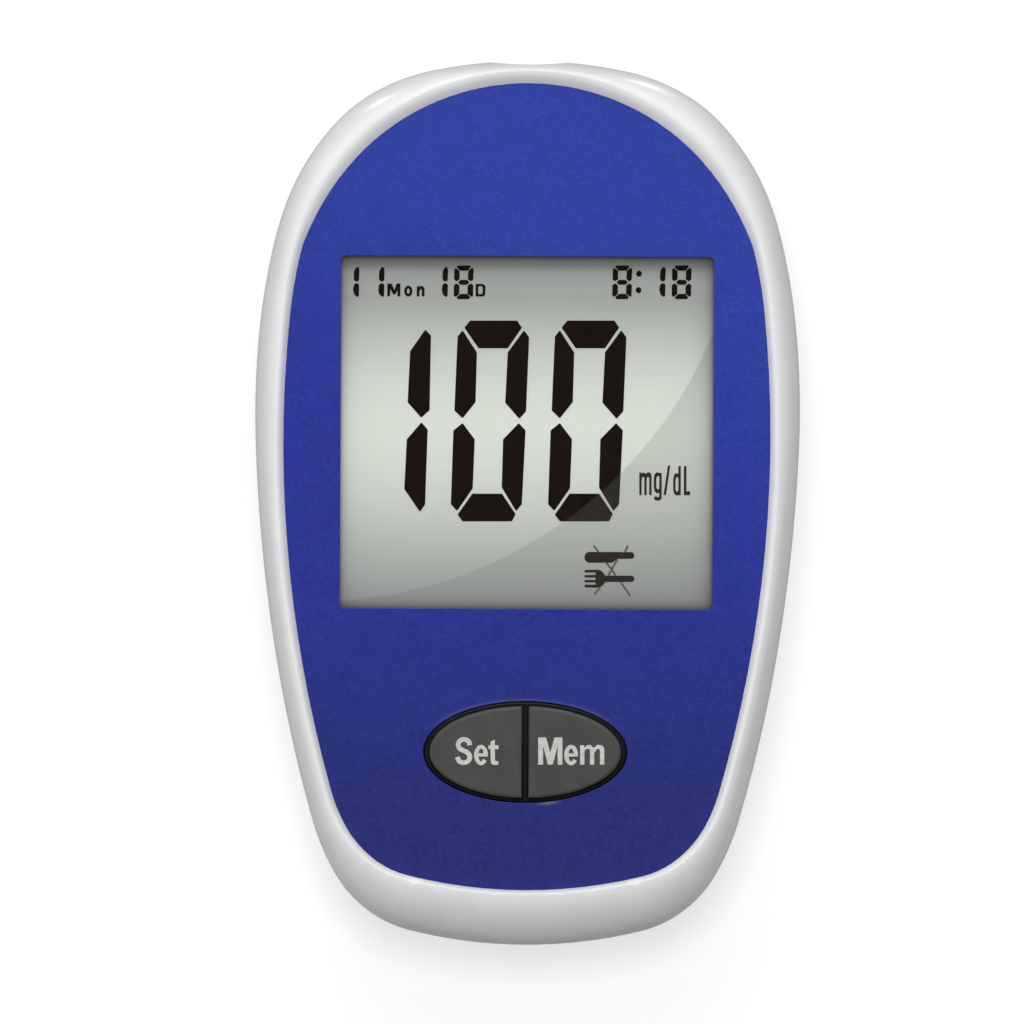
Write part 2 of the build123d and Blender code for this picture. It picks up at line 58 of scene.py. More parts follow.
class Graph:
    """A material's node tree, with short calls for the few node kinds used here."""

    def __init__(self, name):
        self.mat = bpy.data.materials.new(name)
        self.mat.use_nodes = True
        self.nt = self.mat.node_tree
        self.nt.nodes.clear()
        self.out = self.nt.nodes.new("ShaderNodeOutputMaterial")

    def node(self, kind, **props):
        n = self.nt.nodes.new(kind)
        for k, v in props.items():
            setattr(n, k, v)
        return n

    def link(self, a, b):
        self.nt.links.new(a, b)

    def put(self, socket, value):
        if isinstance(value, bpy.types.NodeSocket):
            self.link(value, socket)
        else:
            socket.default_value = value

    def coords(self):
        """The row frame's own coordinates, in metres."""
        return self.node("ShaderNodeTexCoord").outputs["Object"]

    def scaled(self, vec, scale, offset=(0, 0, 0)):
        n = self.node("ShaderNodeMapping")
        self.put(n.inputs["Vector"], vec)
        n.inputs["Scale"].default_value = scale
        n.inputs["Location"].default_value = offset
        return n.outputs[0]

    def noise(self, vec, scale, detail=3.0, rough=0.55, distortion=0.0):
        n = self.node("ShaderNodeTexNoise")
        self.put(n.inputs["Vector"], vec)
        n.inputs["Scale"].default_value = scale
        n.inputs["Detail"].default_value = detail
        n.inputs["Roughness"].default_value = rough
        n.inputs["Distortion"].default_value = distortion
        return n.outputs[0]

    def voronoi(self, vec, scale, feature="F1", out="Distance"):
        n = self.node("ShaderNodeTexVoronoi", feature=feature)
        self.put(n.inputs["Vector"], vec)
        n.inputs["Scale"].default_value = scale
        return n.outputs[out]

    def remap(self, v, a, b, c, d, smooth=False):
        n = self.node("ShaderNodeMapRange", clamp=True)
        if smooth:
            n.interpolation_type = "SMOOTHSTEP"
        self.put(n.inputs["Value"], v)
        for i, x in zip(("From Min", "From Max", "To Min", "To Max"), (a, b, c, d)):
            self.put(n.inputs[i], x)
        return n.outputs[0]

    def math(self, op, a, b=0.0, c=0.0, clamp=False):
        n = self.node("ShaderNodeMath", operation=op, use_clamp=clamp)
        for s, v in zip(n.inputs, (a, b, c)):
            self.put(s, v)
        return n.outputs[0]

    def vmath(self, op, a, b=(0, 0, 0)):
        n = self.node("ShaderNodeVectorMath", operation=op)
        self.put(n.inputs[0], a)
        self.put(n.inputs[1], b)
        return n.outputs[1] if op in ("LENGTH", "DOT_PRODUCT", "DISTANCE") else n.outputs[0]

    def xyz(self, vec):
        n = self.node("ShaderNodeSeparateXYZ")
        self.put(n.inputs[0], vec)
        return n.outputs

    def mix(self, f, a, b, blend="MIX"):
        n = self.node("ShaderNodeMix", data_type="RGBA", blend_type=blend)
        self.put(n.inputs["Factor"], f)
        self.put(n.inputs[6], a if isinstance(a, bpy.types.NodeSocket) else (*a, 1.0))
        self.put(n.inputs[7], b if isinstance(b, bpy.types.NodeSocket) else (*b, 1.0))
        return n.outputs[2]

    def ramp(self, v, stops, interpolation="LINEAR"):
        n = self.node("ShaderNodeValToRGB")
        self.put(n.inputs[0], v)
        cr = n.color_ramp
        cr.interpolation = interpolation
        while len(cr.elements) > 1:
            cr.elements.remove(cr.elements[-1])
        cr.elements[0].position = stops[0][0]
        cr.elements[0].color = (*stops[0][1], 1.0)
        for p, c in stops[1:]:
            cr.elements.new(p).color = (*c, 1.0)
        return n.outputs[0]

    def bump(self, height, strength, distance, normal=None):
        n = self.node("ShaderNodeBump")
        n.inputs["Strength"].default_value = strength
        n.inputs["Distance"].default_value = distance
        self.put(n.inputs["Height"], height)
        if normal is not None:
            self.put(n.inputs["Normal"], normal)
        return n.outputs[0]

    def crevice_shade(self, reach):
        """1 in the open, falling towards 0 in seams and corners; the materials use it to paint shade there."""
        n = self.node("ShaderNodeAmbientOcclusion", samples=6)
        n.inputs["Distance"].default_value = reach
        return n.outputs["AO"]

    def principled(self, **values):
        n = self.node("ShaderNodeBsdfPrincipled")
        for k, v in values.items():
            self.put(n.inputs[k.replace("_", " ")], v)
        self.link(n.outputs[0], self.out.inputs["Surface"])
        return n


def srgb(r, g, b):
    def f(v):
        v /= 255.0
        return v / 12.92 if v <= 0.04045 else ((v + 0.055) / 1.055) ** 2.4
    return (f(r), f(g), f(b))


def tint(c, k):
    return tuple(min(1.0, x * k) for x in c)


# ---------------------------------------------------------------------------
# Materials
# ---------------------------------------------------------------------------
WHITE = (0.785, 0.785, 0.795)


def white_gloss():
    """Polished white ABS: faint mottling, fine orange peel, a few hairline scuffs, painted shade in the seams."""
    g = Graph("white_gloss_abs")
    p = g.coords()
    mottle = g.noise(p, 260, 3, 0.5)
    c = g.mix(g.remap(mottle, 0.3, 0.7, 0.0, 1.0), tint(WHITE, 0.975), tint(WHITE, 1.015))
    # painted shade: darker grey where ambient occlusion finds seams and corners
    c = g.mix(g.remap(g.crevice_shade(0.0006), 0.25, 0.9, 0.55, 0.0), c, srgb(150, 152, 150))
    scuffs = g.noise(g.scaled(p, (700, 9000, 2500)), 1.0, 2, 0.6, 0.4)
    rough = g.math("ADD", g.remap(mottle, 0.3, 0.7, 0.20, 0.27), g.remap(scuffs, 0.66, 0.78, 0.0, 0.12))
    peel = g.noise(p, 1500, 2, 0.5)
    g.principled(Base_Color=c, Roughness=rough, Specular_IOR_Level=0.5, IOR=1.5,
                 Normal=g.bump(peel, 0.06, 0.00002))
    return g.mat


def white_texture(name="white_textured_abs"):
    """The back and the door: spark-eroded grain, satin, painted shade in the seams."""
    g = Graph(name)
    p = g.coords()
    grain = g.noise(p, 5200, 4, 0.62)
    cells = g.voronoi(p, 4300)
    mottle = g.noise(p, 180, 3, 0.5)
    c = g.mix(g.remap(mottle, 0.3, 0.7, 0.0, 1.0), tint(WHITE, 0.93), tint(WHITE, 0.97))
    c = g.mix(g.remap(grain, 0.35, 0.65, 0.12, 0.0), c, tint(WHITE, 0.8))
    # painted shade: darker grey where ambient occlusion finds seams and corners
    c = g.mix(g.remap(g.crevice_shade(0.0008), 0.25, 0.9, 0.6, 0.0), c, srgb(142, 144, 142))
    h = g.math("ADD", grain, g.math("MULTIPLY", cells, 0.5))
    g.principled(Base_Color=c, Roughness=g.remap(grain, 0.3, 0.7, 0.46, 0.6), Normal=g.bump(h, 0.35, 0.00005))
    return g.mat


KEY_HOLE = (-0.02485, 0.01017, 0.00508)         # centre height and half axes of the oval key opening


def blue_face():
    """Blue metallic ink under a satin hard coat: flake sparkle, soft blotches, painted light towards the top and
    painted shade towards the bottom, and a painted sheen and glint on the key opening's lip.
    """
    g = Graph("blue_metallic_face")
    p = g.coords()
    flake = g.node("ShaderNodeTexVoronoi")
    g.put(flake.inputs["Vector"], p)
    flake.inputs["Scale"].default_value = 5200
    fs = g.node("ShaderNodeSeparateColor")
    g.link(flake.outputs["Color"], fs.inputs[0])
    level = fs.outputs[0]
    blotch = g.noise(p, 420, 4, 0.6)
    deep, mid, light = (0.021, 0.028, 0.265), (0.033, 0.052, 0.420), (0.058, 0.090, 0.500)
    c = g.mix(g.remap(level, 0.0, 1.0, 0.0, 1.0), deep, mid)
    c = g.mix(g.remap(level, 0.90, 1.0, 0.0, 0.5), c, light)
    c = g.mix(g.remap(blotch, 0.3, 0.7, 0.5, 0.0), c, tint(deep, 1.05))
    pile = g.noise(p, 2300, 2, 0.5)
    c = g.mix(g.remap(pile, 0.38, 0.62, 0.0, 0.22), c, tint(mid, 1.28))
    y = g.xyz(p)[1]
    # painted light: the blue is painted lighter towards the top right
    slant = g.math("ADD", y, g.math("MULTIPLY", g.xyz(p)[0], 0.45))
    c = g.mix(g.remap(slant, -0.006, 0.030, 0.0, 0.42, smooth=True), c, (0.036, 0.083, 0.500))
    # painted shade: the blue is painted darker towards the bottom
    c = g.mix(g.remap(y, -0.036, -0.002, 0.75, 0.0, smooth=True), c, (0.027, 0.034, 0.172))
    # painted highlight: a pale sheen along the upper edge of the key opening's lip, and a painted glint at one place
    # below it
    x = g.xyz(p)[0]
    ex = g.math("DIVIDE", x, KEY_HOLE[1])
    ey = g.math("DIVIDE", g.math("SUBTRACT", y, KEY_HOLE[0]), KEY_HOLE[2])
    e = g.math("SQRT", g.math("ADD", g.math("MULTIPLY", ex, ex), g.math("MULTIPLY", ey, ey)))
    top = g.math("MULTIPLY", g.remap(e, 1.03, 1.075, 1.0, 0.0, smooth=True), g.remap(ey, 0.35, 0.85, 0.0, 0.55, smooth=True))
    c = g.mix(top, c, (0.085, 0.100, 0.300))
    # painted glint: a small bright patch on the lower lip, right of centre
    lip_glint = g.math("MULTIPLY", g.remap(e, 1.03, 1.075, 1.0, 0.0, smooth=True), g.remap(ey, -0.9, -0.97, 0.0, 1.0, smooth=True))
    off = g.math("DIVIDE", g.math("SUBTRACT", x, 0.0023), 0.0009)
    lip_glint = g.math("MULTIPLY", lip_glint, g.math("EXPONENT", g.math("MULTIPLY", g.math("MULTIPLY", off, off), -1.0)))
    c = g.mix(g.math("MULTIPLY", lip_glint, 0.8), c, (0.160, 0.170, 0.360))
    fine = g.node("ShaderNodeTexNoise")
    g.put(fine.inputs["Vector"], p)
    fine.inputs["Scale"].default_value = 7500
    g.principled(Base_Color=c, Metallic=g.remap(level, 0.2, 1.0, 0.12, 0.45), Roughness=g.remap(blotch, 0.3, 0.7, 0.36, 0.44),
                 Coat_Weight=0.25, Coat_Roughness=0.22, Normal=g.bump(fine.outputs[0], 0.10, 0.00003))
    return g.mat


GLARE_C, GLARE_R = (-0.0214, 0.0330), 0.04296


def in_glare(g, p):
    """1 inside the large arc that the window's reflection makes, 0 outside it."""
    x, y, _ = g.xyz(p)
    dx = g.math("SUBTRACT", x, GLARE_C[0])
    dy = g.math("SUBTRACT", y, GLARE_C[1])
    d = g.math("SQRT", g.math("ADD", g.math("MULTIPLY", dx, dx), g.math("MULTIPLY", dy, dy)))
    return g.remap(d, GLARE_R - 0.00012, GLARE_R + 0.00012, 1.0, 0.0, smooth=True)


def display_face():
    """Grey-green reflective display: brushed reflector, with painted light across the middle, painted shade towards
    its edges and a painted reflection arc.
    """
    g = Graph("display_reflector_face")
    p = g.coords()
    x, y, _ = g.xyz(p)
    # painted light: the display is painted brightest in a band across the middle, falling off above and below
    fall = g.math("DIVIDE", g.math("SUBTRACT", y, 0.0072), g.remap(y, 0.0071, 0.0073, 0.0190, 0.0162))
    level = g.math("EXPONENT", g.math("MULTIPLY", g.math("MULTIPLY", fall, fall), -1.0))
    # the window's deep rim keeps light off the display's edges, most at the top and bottom
    for axis, at, sign, depth, reach in ((x, -0.01857, 1, 0.38, 0.00055), (x, 0.01857, -1, 0.735, 0.00060), (y, -0.01057, 1, 0.74, 0.00045)):
        away = g.math("MAXIMUM", g.math("MULTIPLY", g.math("SUBTRACT", axis, at), float(sign)), 0.0)
        lost = g.math("MULTIPLY", g.math("EXPONENT", g.math("MULTIPLY", away, -1 / reach)), depth)
        level = g.math("MULTIPLY", level, g.math("SUBTRACT", 1.0, lost))
    # painted shade and light by height: dark at the top edge, lighter just below it, a little darker from the middle
    # downwards, slightly lighter again near the bottom
    for a, b, low, high in ((0.02456, 0.02296, 0.56, 1.27), (0.02296, 0.02026, 1.0, 1 / 1.27),
                            (0.0072, -0.0040, 0.975, 0.92), (-0.0045, -0.0085, 1.0, 1.025)):
        level = g.math("MULTIPLY", level, g.remap(y, a, b, low, high))
    tone = g.node("ShaderNodeMix", data_type="RGBA", blend_type="MULTIPLY")
    g.put(tone.inputs["Factor"], 1.0)
    grey = g.node("ShaderNodeCombineColor")
    for i in range(3):
        g.put(grey.inputs[i], level)
    g.put(tone.inputs[6], grey.outputs[0])
    g.put(tone.inputs[7], g.mix(g.remap(level, 0.45, 0.95, 0.0, 1.0), (0.795, 0.815, 0.790), (0.795, 0.818, 0.755)))
    base = tone.outputs[2]
    streak = g.noise(g.scaled(p, (60, 5200, 60)), 1.0, 3, 0.6)
    grain = g.noise(p, 3800, 2, 0.5)
    base = g.mix(g.remap(streak, 0.3, 0.7, 0.06, 0.0), base, tint(srgb(150, 152, 146), 0.9))
    base = g.mix(g.remap(grain, 0.3, 0.7, 0.04, 0.0), base, srgb(120, 124, 118))
    # painted reflection: outside the arc of the window's reflection the display is painted darker, more so higher up
    dim = g.remap(y, -0.009, 0.002, 0.870, 0.800)
    shade = g.node("ShaderNodeCombineColor")
    for i in range(3):
        g.put(shade.inputs[i], dim)
    base = g.mix(in_glare(g, p), g.mix(1.0, base, shade.outputs[0], "MULTIPLY"), base)
    g.principled(Base_Color=base, Roughness=0.55, Specular_IOR_Level=0.12, Normal=g.bump(streak, 0.05, 0.00001))
    return g.mat


def display_ink(name, inside, outside):
    """Dark segments, painted a shade lighter outside the arc of the window's painted reflection, with the slight
    unevenness of liquid crystal.
    """
    g = Graph(name)
    p = g.coords()
    n = g.noise(p, 900, 3, 0.6)
    a = g.mix(g.remap(n, 0.3, 0.7, 0.0, 1.0), tint(inside, 0.8), tint(inside, 1.25))
    b = g.mix(g.remap(n, 0.3, 0.7, 0.0, 1.0), tint(outside, 0.85), tint(outside, 1.15))
    g.principled(Base_Color=g.mix(in_glare(g, p), b, a), Roughness=0.6, Specular_IOR_Level=0.1,
                 Normal=g.bump(n, 0.03, 0.00001))
    return g.mat


def clear_window():
    """Clear acrylic window: light passes straight, its face mirrors, faint hairlines."""
    g = Graph("clear_window")
    p = g.coords()
    clear = g.node("ShaderNodeBsdfTransparent")
    clear.inputs["Color"].default_value = (0.985, 0.99, 0.985, 1.0)
    gloss = g.node("ShaderNodeBsdfGlossy")
    gloss.inputs["Color"].default_value = (1, 1, 1, 1)
    hair = g.noise(g.scaled(p, (300, 5000, 300)), 1.0, 2, 0.5, 0.3)
    g.put(gloss.inputs["Roughness"], g.remap(hair, 0.6, 0.8, 0.02, 0.05))
    f = g.node("ShaderNodeFresnel")
    f.inputs["IOR"].default_value = 1.45
    geo = g.node("ShaderNodeNewGeometry")
    outer = g.math("MULTIPLY", f.outputs[0], g.math("SUBTRACT", 1.0, geo.outputs["Backfacing"]))
    m = g.node("ShaderNodeMixShader")
    g.link(outer, m.inputs[0])
    g.link(clear.outputs[0], m.inputs[1])
    g.link(gloss.outputs[0], m.inputs[2])
    g.link(m.outputs[0], g.out.inputs["Surface"])
    return g.mat


def key_plastic():
    g = Graph("key_charcoal")
    p = g.coords()
    grain = g.noise(p, 4200, 3, 0.6)
    wear = g.noise(p, 300, 3, 0.6)
    c = g.mix(g.remap(wear, 0.3, 0.7, 0.0, 1.0), srgb(67, 67, 66), srgb(76, 76, 75))
    c = g.mix(g.remap(grain, 0.4, 0.7, 0.0, 0.18), c, srgb(84, 84, 82))
    g.principled(Base_Color=c, Roughness=g.remap(grain, 0.3, 0.7, 0.52, 0.62), Specular_IOR_Level=0.35, Normal=g.bump(grain, 0.18, 0.00003))
    return g.mat


def key_paint():
    g = Graph("key_lettering")
    p = g.coords()
    n = g.noise(p, 2600, 4, 0.6)
    c = g.mix(g.remap(n, 0.35, 0.7, 0.0, 1.0), srgb(184, 183, 180), srgb(206, 205, 202))
    g.principled(Base_Color=c, Roughness=0.5, Normal=g.bump(n, 0.1, 0.00002))
    return g.mat


def plastic(name, colour, rough=0.5, grain_scale=3500, strength=0.15, vary=0.12, seam_shade=False):
    g = Graph(name)
    p = g.coords()
    grain = g.noise(p, grain_scale, 3, 0.6)
    soft = g.noise(p, 260, 3, 0.5)
    c = g.mix(g.remap(soft, 0.3, 0.7, 0.0, 1.0), tint(colour, 1 - vary), tint(colour, 1 + vary))
    if seam_shade:
        # painted shade: darker where ambient occlusion finds seams and corners
        c = g.mix(g.remap(g.crevice_shade(0.0006), 0.3, 0.9, 0.5, 0.0), c, tint(colour, 0.4))
    g.principled(Base_Color=c, Roughness=g.remap(grain, 0.3, 0.7, rough - 0.06, rough + 0.06),
                 Normal=g.bump(grain, strength, 0.00004))
    return g.mat


def metal(name, colour, rough=0.28, across=(300, 12000, 300), rings=None):
    """Brushed or plated metal. rings is a centre that the brush marks run round."""
    g = Graph(name)
    p = g.coords()
    if rings:
        v = g.vmath("SUBTRACT", p, (rings[0], rings[1], 0.0))
        x, y, _ = g.xyz(v)
        r = g.math("SQRT", g.math("ADD", g.math("MULTIPLY", x, x), g.math("MULTIPLY", y, y)))
        comb = g.node("ShaderNodeCombineXYZ")
        g.put(comb.inputs[0], g.math("MULTIPLY", r, 9000.0))
        marks = g.noise(comb.outputs[0], 1.0, 3, 0.6)
    else:
        marks = g.noise(g.scaled(p, across), 1.0, 3, 0.6)
    tarnish = g.noise(p, 500, 3, 0.6)
    c = g.mix(g.remap(tarnish, 0.3, 0.7, 0.0, 1.0), tint(colour, 0.88), tint(colour, 1.06))
    g.principled(Base_Color=c, Metallic=1.0, Roughness=g.remap(marks, 0.3, 0.7, rough - 0.08, rough + 0.1),
                 Normal=g.bump(marks, 0.12, 0.00002))
    return g.mat


def board_mask():
    """Green solder mask with copper traces showing through as a lighter weave."""
    g = Graph("solder_mask")
    p = g.coords()
    x, y, _ = g.xyz(p)
    lines = g.math("ABSOLUTE", g.math("SINE", g.math("MULTIPLY", g.math("ADD", x, g.math("MULTIPLY", g.noise(g.scaled(p, (120, 120, 1)), 1.0, 1), 0.012)), 2600.0)))
    trace = g.remap(lines, 0.80, 0.90, 0.0, 1.0)
    c = g.mix(trace, (0.010, 0.105, 0.045), (0.025, 0.19, 0.085))
    weave = g.noise(g.scaled(p, (1800, 1800, 1)), 1.0, 2)
    c = g.mix(g.remap(weave, 0.3, 0.7, 0.25, 0.0), c, (0.006, 0.07, 0.03))
    g.principled(Base_Color=c, Roughness=0.3, Coat_Weight=0.4, Coat_Roughness=0.12, Normal=g.bump(trace, 0.3, 0.00003))
    return g.mat


def label_film():
    g = Graph("blank_label")
    p = g.coords()
    n = g.noise(p, 1400, 3, 0.6)
    x, y, _ = g.xyz(p)
    c = g.mix(g.remap(n, 0.3, 0.7, 0.0, 1.0), srgb(206, 210, 214), srgb(214, 218, 222))
    g.principled(Base_Color=c, Roughness=0.42, Normal=g.bump(n, 0.08, 0.00003))
    return g.mat


M = {
    "white": white_gloss(),
    "back": white_texture(),
    "blue": blue_face(),
    "window": clear_window(),
    "display": display_face(),
    "ink": display_ink("display_segments", (0.0105, 0.0062, 0.0052), (0.030, 0.026, 0.024)),
    "ink_thin": display_ink("display_thin_lines", (0.050, 0.048, 0.044), (0.115, 0.115, 0.108)),
    "key": key_plastic(),
    "paint": key_paint(),
    "ring": plastic("ring_black", (0.0065, 0.0068, 0.0085), 0.42, 5200, 0.08, 0.1),
    "adhesive": plastic("adhesive_film", (0.55, 0.55, 0.52), 0.6),
    "foam": plastic("black_foam", (0.02, 0.02, 0.021), 0.85, 6500, 0.6),
    "glass": plastic("display_glass_edge", (0.45, 0.52, 0.50), 0.2, 2000, 0.02),
    "frame": plastic("display_frame_plastic", (0.50, 0.50, 0.49), 0.5),
    "rubber": plastic("layered_rubber", (0.09, 0.09, 0.10), 0.7),
    "silicone": plastic("black_silicone", (0.028, 0.028, 0.030), 0.62, 5200, 0.2),
    "carbon": plastic("carbon_pill", (0.015, 0.015, 0.016), 0.75, 8000, 0.3),
    "chip": plastic("chip_epoxy", (0.017, 0.017, 0.018), 0.5, 7000, 0.25),
    "parts": metal("small_parts", (0.60, 0.56, 0.48), 0.4),
    "black": plastic("black_moulding", (0.022, 0.022, 0.023), 0.45, 4200, 0.15, 0.12, True),
    "board": board_mask(),
    "gold": metal("gold_plate", (0.83, 0.60, 0.24), 0.22),
    "cell": metal("cell_steel", (0.66, 0.66, 0.64), 0.24, rings=(0.0, -0.020)),
    "seal": plastic("cell_seal", (0.30, 0.30, 0.31), 0.5),
    "spring": metal("nickel_spring", (0.64, 0.63, 0.60), 0.25),
    "screw": metal("zinc_screw", (0.50, 0.50, 0.51), 0.3, (9000, 300, 300)),
    "label": label_film(),
}

LOOK = {
    "front_housing": "white", "rear_housing": "back", "battery_door": "back", "faceplate": "blue",
    "faceplate_adhesive": "adhesive", "display_lens": "window", "display_gasket": "foam", "lcd_front_glass": "glass",
    "lcd_front_polarizer": "display", "lcd_rear_glass": "glass", "lcd_reflector": "display", "lcd_frame": "frame",
    "zebra_connector": "rubber", "circuit_board": "board", "microcontroller": "chip", "board_components": "parts",
    "buzzer": "black", "strip_connector": "black", "strip_contacts": "gold", "key_surround": "ring", "keypad_web": "silicone",
    "set_key": "key", "memory_key": "key", "set_key_post": "silicone", "memory_key_post": "silicone",
    "set_contact_pill": "carbon", "memory_contact_pill": "carbon", "set_key_skirt": "silicone", "memory_key_skirt": "silicone",
    "coin_cell_can": "cell", "coin_cell_cap": "cell", "coin_cell_seal": "seal", "battery_contact_positive": "spring",
    "battery_contact_negative": "spring", "case_screws": "screw", "board_screws": "screw", "rear_label": "label",
}
for name, look in LOOK.items():
    slots = nodes[name].data.materials
    if not slots:
        slots.append(M[look])
    for i in range(len(slots)):
        slots[i] = M[look]


# ---------------------------------------------------------------------------
# Flat printed and display shapes
# ---------------------------------------------------------------------------
def rounded(poly, r, steps=4):
    """The closed polygon with its corners rounded, r at most, less where edges are short."""
    out, n = [], len(poly)
    for i in range(n):
        a, b, c = (Vector(poly[(i + k) % n]) for k in (-1, 0, 1))
        u, v = a - b, c - b
        lu, lv = u.length, v.length
        if lu < 1e-9 or lv < 1e-9:
            continue
        u, v = u / lu, v / lv
        ang = math.acos(max(-1, min(1, u.dot(v))))
        if ang > math.radians(165) or r <= 0:
            out.append(b)
            continue
        cut = min(r / math.tan(ang / 2), lu * 0.45, lv * 0.45)
        p0, p1 = b + u * cut, b + v * cut
        for s in range(steps + 1):
            t = s / steps
            out.append(p0 * (1 - t) ** 2 + b * 2 * t * (1 - t) + p1 * t * t)
    return out


def grown(loop, by):
    """The outline moved outwards by a small amount."""
    pts = [Vector(p) for p in loop]
    if sum(p.x * q.y - q.x * p.y for p, q in zip(pts, pts[1:] + pts[:1])) < 0:
        pts.reverse()
    out = []
    for a, b, c in zip(pts[-1:] + pts[:-1], pts, pts[1:] + pts[:1]):
        u, v = (b - a).normalized(), (c - b).normalized()
        n = Vector((u.y + v.y, -u.x - v.x))
        out.append(b + n.normalized() * (by / max(0.5, n.length / 2)) if n.length > 1e-6 else b)
    return out


def slab(name, shapes, z0, z1, mat, body, slot, r=0.0, grow=0.0):
    """Thin solid shapes in millimetres. A shape is a list of loops: its outline, then its holes."""
    verts, faces = [], []
    for loops in shapes:
        if grow:
            loops = [grown(loops[0], grow)] + [grown(hole, -grow) for hole in loops[1:]]
        loops = [rounded(loop, r) for loop in loops]
        for i, loop in enumerate(loops):
            area = sum(p.x * q.y - q.x * p.y for p, q in zip(loop, loop[1:] + loop[:1]))
            if (area > 0) != (i == 0):
                loop.reverse()
        flat = [p for loop in loops for p in loop]
        tris = tessellate_polygon([[p.to_3d() for p in loop] for loop in loops])
        n, base = len(flat), len(verts)
        verts += [(p.x * MM, p.y * MM, z0 * MM) for p in flat] + [(p.x * MM, p.y * MM, z1 * MM) for p in flat]
        for i, j, k in tris:
            a, b, c = flat[i], flat[j], flat[k]
            turn = (b - a).cross(c - a)
            if abs(turn) < 1e-12:
                continue
            if turn < 0:
                j, k = k, j
            faces.append((base + n + i, base + n + j, base + n + k))
            faces.append((base + i, base + k, base + j))
        first = base
        for loop in loops:
            m = len(loop)
            for i in range(m):
                j = (i + 1) % m
                faces.append((first + i, first + j, first + n + j, first + n + i))
            first += m
    me = bpy.data.meshes.new(name)
    me.from_pydata(verts, [], faces)
    me.validate()
    o = bpy.data.objects.new(name, me)
    bpy.context.scene.collection.objects.link(o)
    me.materials.append(mat)
    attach(o, body)
    return o


def moved(shapes, dx, dy=0.0):
    return [[[(x + dx, y + dy) for x, y in loop] for loop in loops] for loops in shapes]


# Outlines in millimetres. A shape is [outline, hole, ...].
SET = [
    [[(-5.28, -24.13), (-5.30, -24.06), (-5.32, -23.94), (-5.37, -23.79), (-5.47, -23.63), (-5.62, -23.53), (-5.77, -23.45), (-5.93, -23.41), (-6.09, -23.38), (-6.25, -23.39), (-6.41, -23.43), (-6.55, -23.50), (-6.67, -23.59), (-6.78, -23.70), (-6.85, -23.84), (-6.90, -23.98), (-6.92, -24.12), (-6.91, -24.27), (-6.87, -24.41), (-6.80, -24.54), (-6.70, -24.66), (-6.57, -24.77), (-6.43, -24.84), (-6.30, -24.90), (-6.19, -24.95), (-6.08, -25.01), (-5.97, -25.06), (-5.89, -25.10), (-5.84, -25.14), (-5.81, -25.20), (-5.77, -25.26), (-5.75, -25.33), (-5.74, -25.38), (-5.75, -25.43), (-5.77, -25.49), (-5.80, -25.55), (-5.83, -25.59), (-5.88, -25.62), (-5.96, -25.66), (-6.04, -25.69), (-6.11, -25.70), (-6.19, -25.69), (-6.28, -25.67), (-6.37, -25.64), (-6.41, -25.61), (-6.44, -25.57), (-6.47, -25.48), (-6.51, -25.37), (-6.54, -25.28), (-6.98, -25.43), (-6.96, -25.51), (-6.91, -25.64), (-6.84, -25.80), (-6.73, -25.95), (-6.58, -26.06), (-6.42, -26.12), (-6.25, -26.15), (-6.09, -26.16), (-5.93, -26.14), (-5.78, -26.09), (-5.64, -26.02), (-5.51, -25.93), (-5.41, -25.81), (-5.34, -25.68), (-5.29, -25.53), (-5.27, -25.38), (-5.29, -25.22), (-5.34, -25.08), (-5.41, -24.94), (-5.51, -24.82), (-5.63, -24.72), (-5.76, -24.64), (-5.87, -24.59), (-5.98, -24.54), (-6.10, -24.48), (-6.22, -24.42), (-6.32, -24.37), (-6.37, -24.33), (-6.41, -24.29), (-6.43, -24.23), (-6.45, -24.18), (-6.45, -24.14), (-6.45, -24.09), (-6.42, -24.03), (-6.39, -23.97), (-6.37, -23.93), (-6.32, -23.91), (-6.25, -23.88), (-6.18, -23.86), (-6.11, -23.85), (-6.03, -23.86), (-5.94, -23.89), (-5.85, -23.93), (-5.81, -23.96), (-5.80, -23.98), (-5.78, -24.06), (-5.76, -24.16), (-5.74, -24.23)]],
    [[(-3.71, -25.30), (-3.71, -25.07), (-3.74, -24.85), (-3.80, -24.64), (-3.90, -24.46), (-4.01, -24.31), (-4.15, -24.21), (-4.30, -24.15), (-4.46, -24.14), (-4.61, -24.18), (-4.75, -24.27), (-4.87, -24.41), (-4.97, -24.58), (-5.04, -24.78), (-5.08, -25.00), (-5.09, -25.23), (-5.06, -25.45), (-5.00, -25.66), (-4.91, -25.84), (-4.79, -25.99), (-4.65, -26.10), (-4.50, -26.16), (-4.35, -26.17), (-4.20, -26.13), (-4.06, -26.04), (-3.93, -25.90), (-3.83, -25.73), (-4.19, -25.54), (-4.23, -25.64), (-4.28, -25.72), (-4.33, -25.77), (-4.39, -25.78), (-4.45, -25.77), (-4.51, -25.73), (-4.56, -25.65), (-4.60, -25.55), (-4.63, -25.44), (-4.66, -25.30), (-3.74, -25.30)], [(-4.15, -24.98), (-4.17, -24.86), (-4.20, -24.74), (-4.24, -24.65), (-4.29, -24.58), (-4.35, -24.54), (-4.40, -24.52), (-4.46, -24.54), (-4.51, -24.58), (-4.56, -24.65), (-4.60, -24.75), (-4.63, -24.86), (-4.66, -24.98)]],
    [[(-3.45, -23.81), (-3.02, -23.61), (-3.02, -24.17), (-2.66, -24.17), (-2.66, -24.57), (-3.02, -24.57), (-3.01, -25.60), (-2.95, -25.75), (-2.68, -25.76), (-2.65, -26.08), (-2.92, -26.16), (-3.25, -26.10), (-3.41, -25.93), (-3.44, -25.65), (-3.45, -24.57), (-3.66, -24.57), (-3.66, -24.17), (-3.45, -24.17)]],
]
